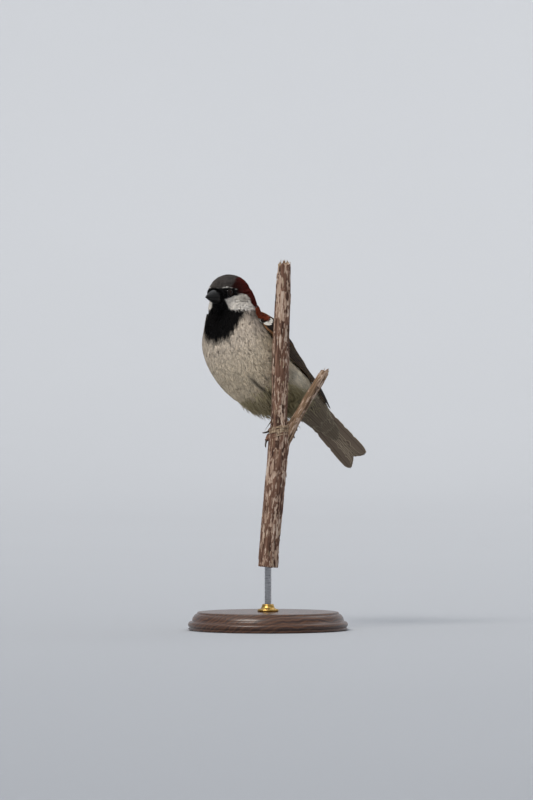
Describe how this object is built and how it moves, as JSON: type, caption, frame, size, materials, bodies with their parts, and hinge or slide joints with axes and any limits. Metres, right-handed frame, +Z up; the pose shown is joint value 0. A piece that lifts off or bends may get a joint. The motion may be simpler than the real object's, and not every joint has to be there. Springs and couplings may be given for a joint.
{
  "type": "house sparrow",
  "caption": "Life-size male house sparrow perched upright behind a broken forked stem, head turned to the viewer, on a round display stand.",
  "frame": {"origin": "centre of the stand base's underside, straight below the rod", "axes": "+Z up along the rod, +X to the right of a viewer who faces the bird, +Y away from that viewer; the bird looks towards -Y and -X"},
  "size_m": [0.1084, 0.1152, 0.2226],
  "materials": {
    "plumage": "matte",
    "flight_feathers": "matte",
    "bill_horn": "satin",
    "eyes": "gloss",
    "leg_scales": "satin",
    "claws": "satin",
    "bark": "matte",
    "rod_steel": "satin",
    "collar_brass": "satin",
    "turned_wood": "satin"
  },
  "bodies": {
    "root": {"trunk": "plumage", "neck": "plumage", "head": "plumage", "bill_upper": "bill_horn", "bill_lower": "bill_horn", "tail": "flight_feathers", "eye_left": "eyes", "eye_right": "eyes", "wing_left": "flight_feathers", "wing_right": "flight_feathers", "foot_left": "leg_scales", "foot_right": "leg_scales", "claw_left_inner": "claws", "claw_left_middle": "claws", "claw_left_outer": "claws", "claw_left_hind": "claws", "claw_right_inner": "claws", "claw_right_middle": "claws", "claw_right_outer": "claws", "claw_right_hind": "claws", "perch_stem": "bark", "stand_rod": "rod_steel", "stand_collar": "collar_brass", "stand_base": "turned_wood"}
  },
  "joints": []
}
